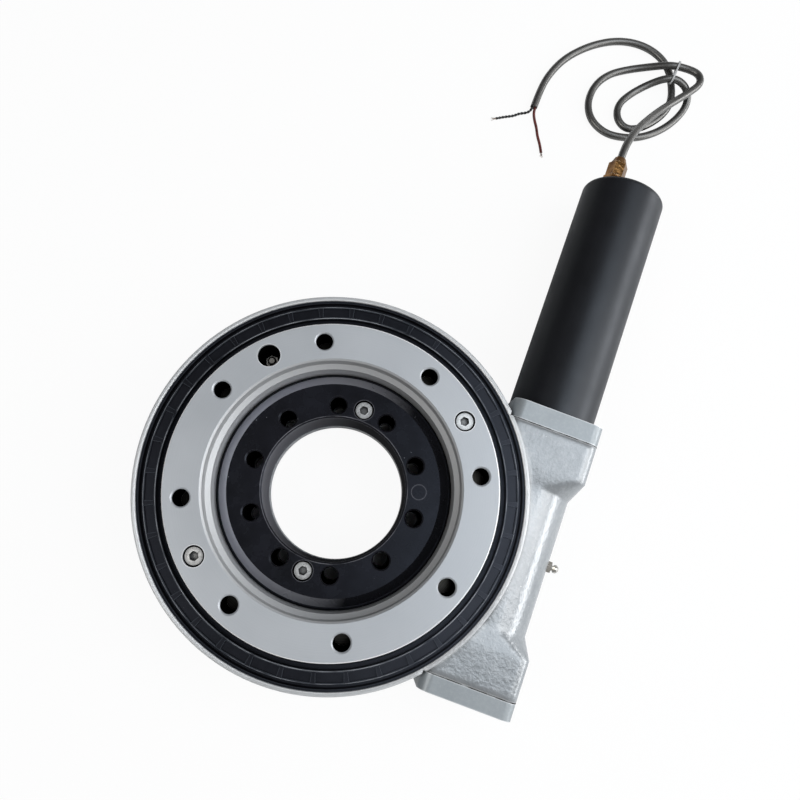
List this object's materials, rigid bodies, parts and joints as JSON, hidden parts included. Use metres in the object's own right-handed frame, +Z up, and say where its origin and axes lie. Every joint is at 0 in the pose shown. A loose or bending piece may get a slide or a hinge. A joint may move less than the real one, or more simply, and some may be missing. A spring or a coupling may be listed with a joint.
{
  "type": "slewing drive",
  "caption": "Enclosed worm slewing drive: a flanged output ring on a ball race, turned by a worm in a side tunnel and a planetary direct-current gearmotor with a loose cable.",
  "frame": {"origin": "on the slewing axis, in the base face of the housing", "axes": "+Z up along the slewing axis to the output face, +X towards the worm tunnel, +Y along the worm axis towards the motor"},
  "size_m": [0.3095, 0.6034, 0.078],
  "materials": {
    "cast_paint": "silver-grey paint over a cast skin",
    "plate_paint": "smooth silver-grey paint",
    "satin_steel": "fine turned, satin",
    "black_steel": "glossy black",
    "gear_steel": "machined",
    "bearing_steel": "ground",
    "cage_brass": "pressed",
    "seal_rubber": "moulded",
    "gasket_fibre": "pressed fibre",
    "screw_steel": "zinc plated",
    "nipple_steel": "bright plated",
    "bush_bronze": "sintered bronze",
    "motor_black": "satin black",
    "can_zinc": "zinc plated",
    "magnet_ferrite": "sintered",
    "core_iron": "stacked sheet",
    "winding_copper": "enamelled copper",
    "brush_carbon": "pressed carbon",
    "plate_resin": "moulded resin",
    "gland_brass": "machined brass",
    "cable_sheath": "soft sheath",
    "core_black": "core insulation",
    "core_red": "core insulation",
    "tie_nylon": "nylon"
  },
  "bodies": {
    "base": {"housing": "cast_paint", "inner_ring": "black_steel", "inner_ring_screws": "screw_steel", "dowel_pin": "black_steel", "outer_seal": "seal_rubber", "inner_seal": "seal_rubber", "end_cover": "plate_paint", "end_cover_gasket": "gasket_fibre", "end_cover_screws": "screw_steel", "motor_plate": "plate_paint", "motor_plate_gasket": "gasket_fibre", "motor_plate_screws": "screw_steel", "front_bearing_cup": "bearing_steel", "rear_bearing_cup": "bearing_steel", "worm_shaft_seal": "seal_rubber", "carrier_bush": "bush_bronze", "worm_grease_nipple": "nipple_steel", "ring_gear": "gear_steel", "gearbox_cover": "can_zinc", "gearbox_screws": "screw_steel", "motor_casing": "motor_black", "motor_can": "can_zinc", "motor_magnets": "magnet_ferrite", "rear_bell": "can_zinc", "front_motor_bearing": "bearing_steel", "rear_motor_bearing": "bearing_steel", "brush_plate": "plate_resin", "motor_brushes": "brush_carbon", "gland_body": "gland_brass", "gland_locknut": "gland_brass", "gland_nut": "gland_brass", "gland_bush": "seal_rubber", "cable": "cable_sheath", "black_core": "core_black", "red_core": "core_red", "cable_tie": "tie_nylon"},
    "output": {"output_flange": "satin_steel", "worm_wheel": "gear_steel", "output_flange_screws": "screw_steel", "ring_grease_nipple": "nipple_steel"},
    "ball_set": {"balls": "bearing_steel", "ball_cage": "cage_brass"},
    "worm": {"worm": "gear_steel", "front_bearing_cone": "bearing_steel", "rear_bearing_cone": "bearing_steel", "shaft_key": "gear_steel", "planet_carrier": "gear_steel", "planet_pins": "gear_steel"},
    "front_rollers": {"front_bearing_rollers": "bearing_steel"},
    "rear_rollers": {"rear_bearing_rollers": "bearing_steel"},
    "planet_1": {"planet_gear_1": "gear_steel"},
    "planet_2": {"planet_gear_2": "gear_steel"},
    "planet_3": {"planet_gear_3": "gear_steel"},
    "rotor": {"rotor_shaft": "gear_steel", "armature_core": "core_iron", "front_winding": "winding_copper", "rear_winding": "winding_copper", "commutator": "winding_copper"}
  },
  "joints": [
    {"name": "slew_turn", "type": "hinge", "parent": "base", "child": "output", "pos_m": [0, 0, 0.036], "axis": [0, 0, 1], "continuous": true},
    {"name": "ball_orbit", "type": "hinge", "parent": "base", "child": "ball_set", "pos_m": [0, 0, 0.036], "axis": [0, 0, 1], "continuous": true},
    {"name": "worm_turn", "type": "hinge", "parent": "base", "child": "worm", "pos_m": [0.1327, 0, 0.036], "axis": [0, 1, 0], "continuous": true},
    {"name": "front_roller_orbit", "type": "hinge", "parent": "base", "child": "front_rollers", "pos_m": [0.1327, 0, 0.036], "axis": [0, 1, 0], "continuous": true},
    {"name": "rear_roller_orbit", "type": "hinge", "parent": "base", "child": "rear_rollers", "pos_m": [0.1327, 0, 0.036], "axis": [0, 1, 0], "continuous": true},
    {"name": "rotor_turn", "type": "hinge", "parent": "base", "child": "rotor", "pos_m": [0.1327, 0, 0.036], "axis": [0, 1, 0], "continuous": true},
    {"name": "planet_1_spin", "type": "hinge", "parent": "worm", "child": "planet_1", "pos_m": [0.1462, 0.12, 0.036], "axis": [0, 1, 0], "continuous": true},
    {"name": "planet_2_spin", "type": "hinge", "parent": "worm", "child": "planet_2", "pos_m": [0.12595, 0.12, 0.02431], "axis": [0, 1, 0], "continuous": true},
    {"name": "planet_3_spin", "type": "hinge", "parent": "worm", "child": "planet_3", "pos_m": [0.12595, 0.12, 0.04769], "axis": [0, 1, 0], "continuous": true}
  ],
  "couplings": [
    {"joint": "ball_orbit", "follows": "slew_turn", "ratio": 0.527},
    {"joint": "worm_turn", "follows": "slew_turn", "ratio": -57},
    {"joint": "front_roller_orbit", "follows": "slew_turn", "ratio": -24.233},
    {"joint": "rear_roller_orbit", "follows": "slew_turn", "ratio": -24.233},
    {"joint": "rotor_turn", "follows": "slew_turn", "ratio": -285},
    {"joint": "planet_1_spin", "follows": "slew_turn", "ratio": 152},
    {"joint": "planet_2_spin", "follows": "slew_turn", "ratio": 152},
    {"joint": "planet_3_spin", "follows": "slew_turn", "ratio": 152}
  ]
}
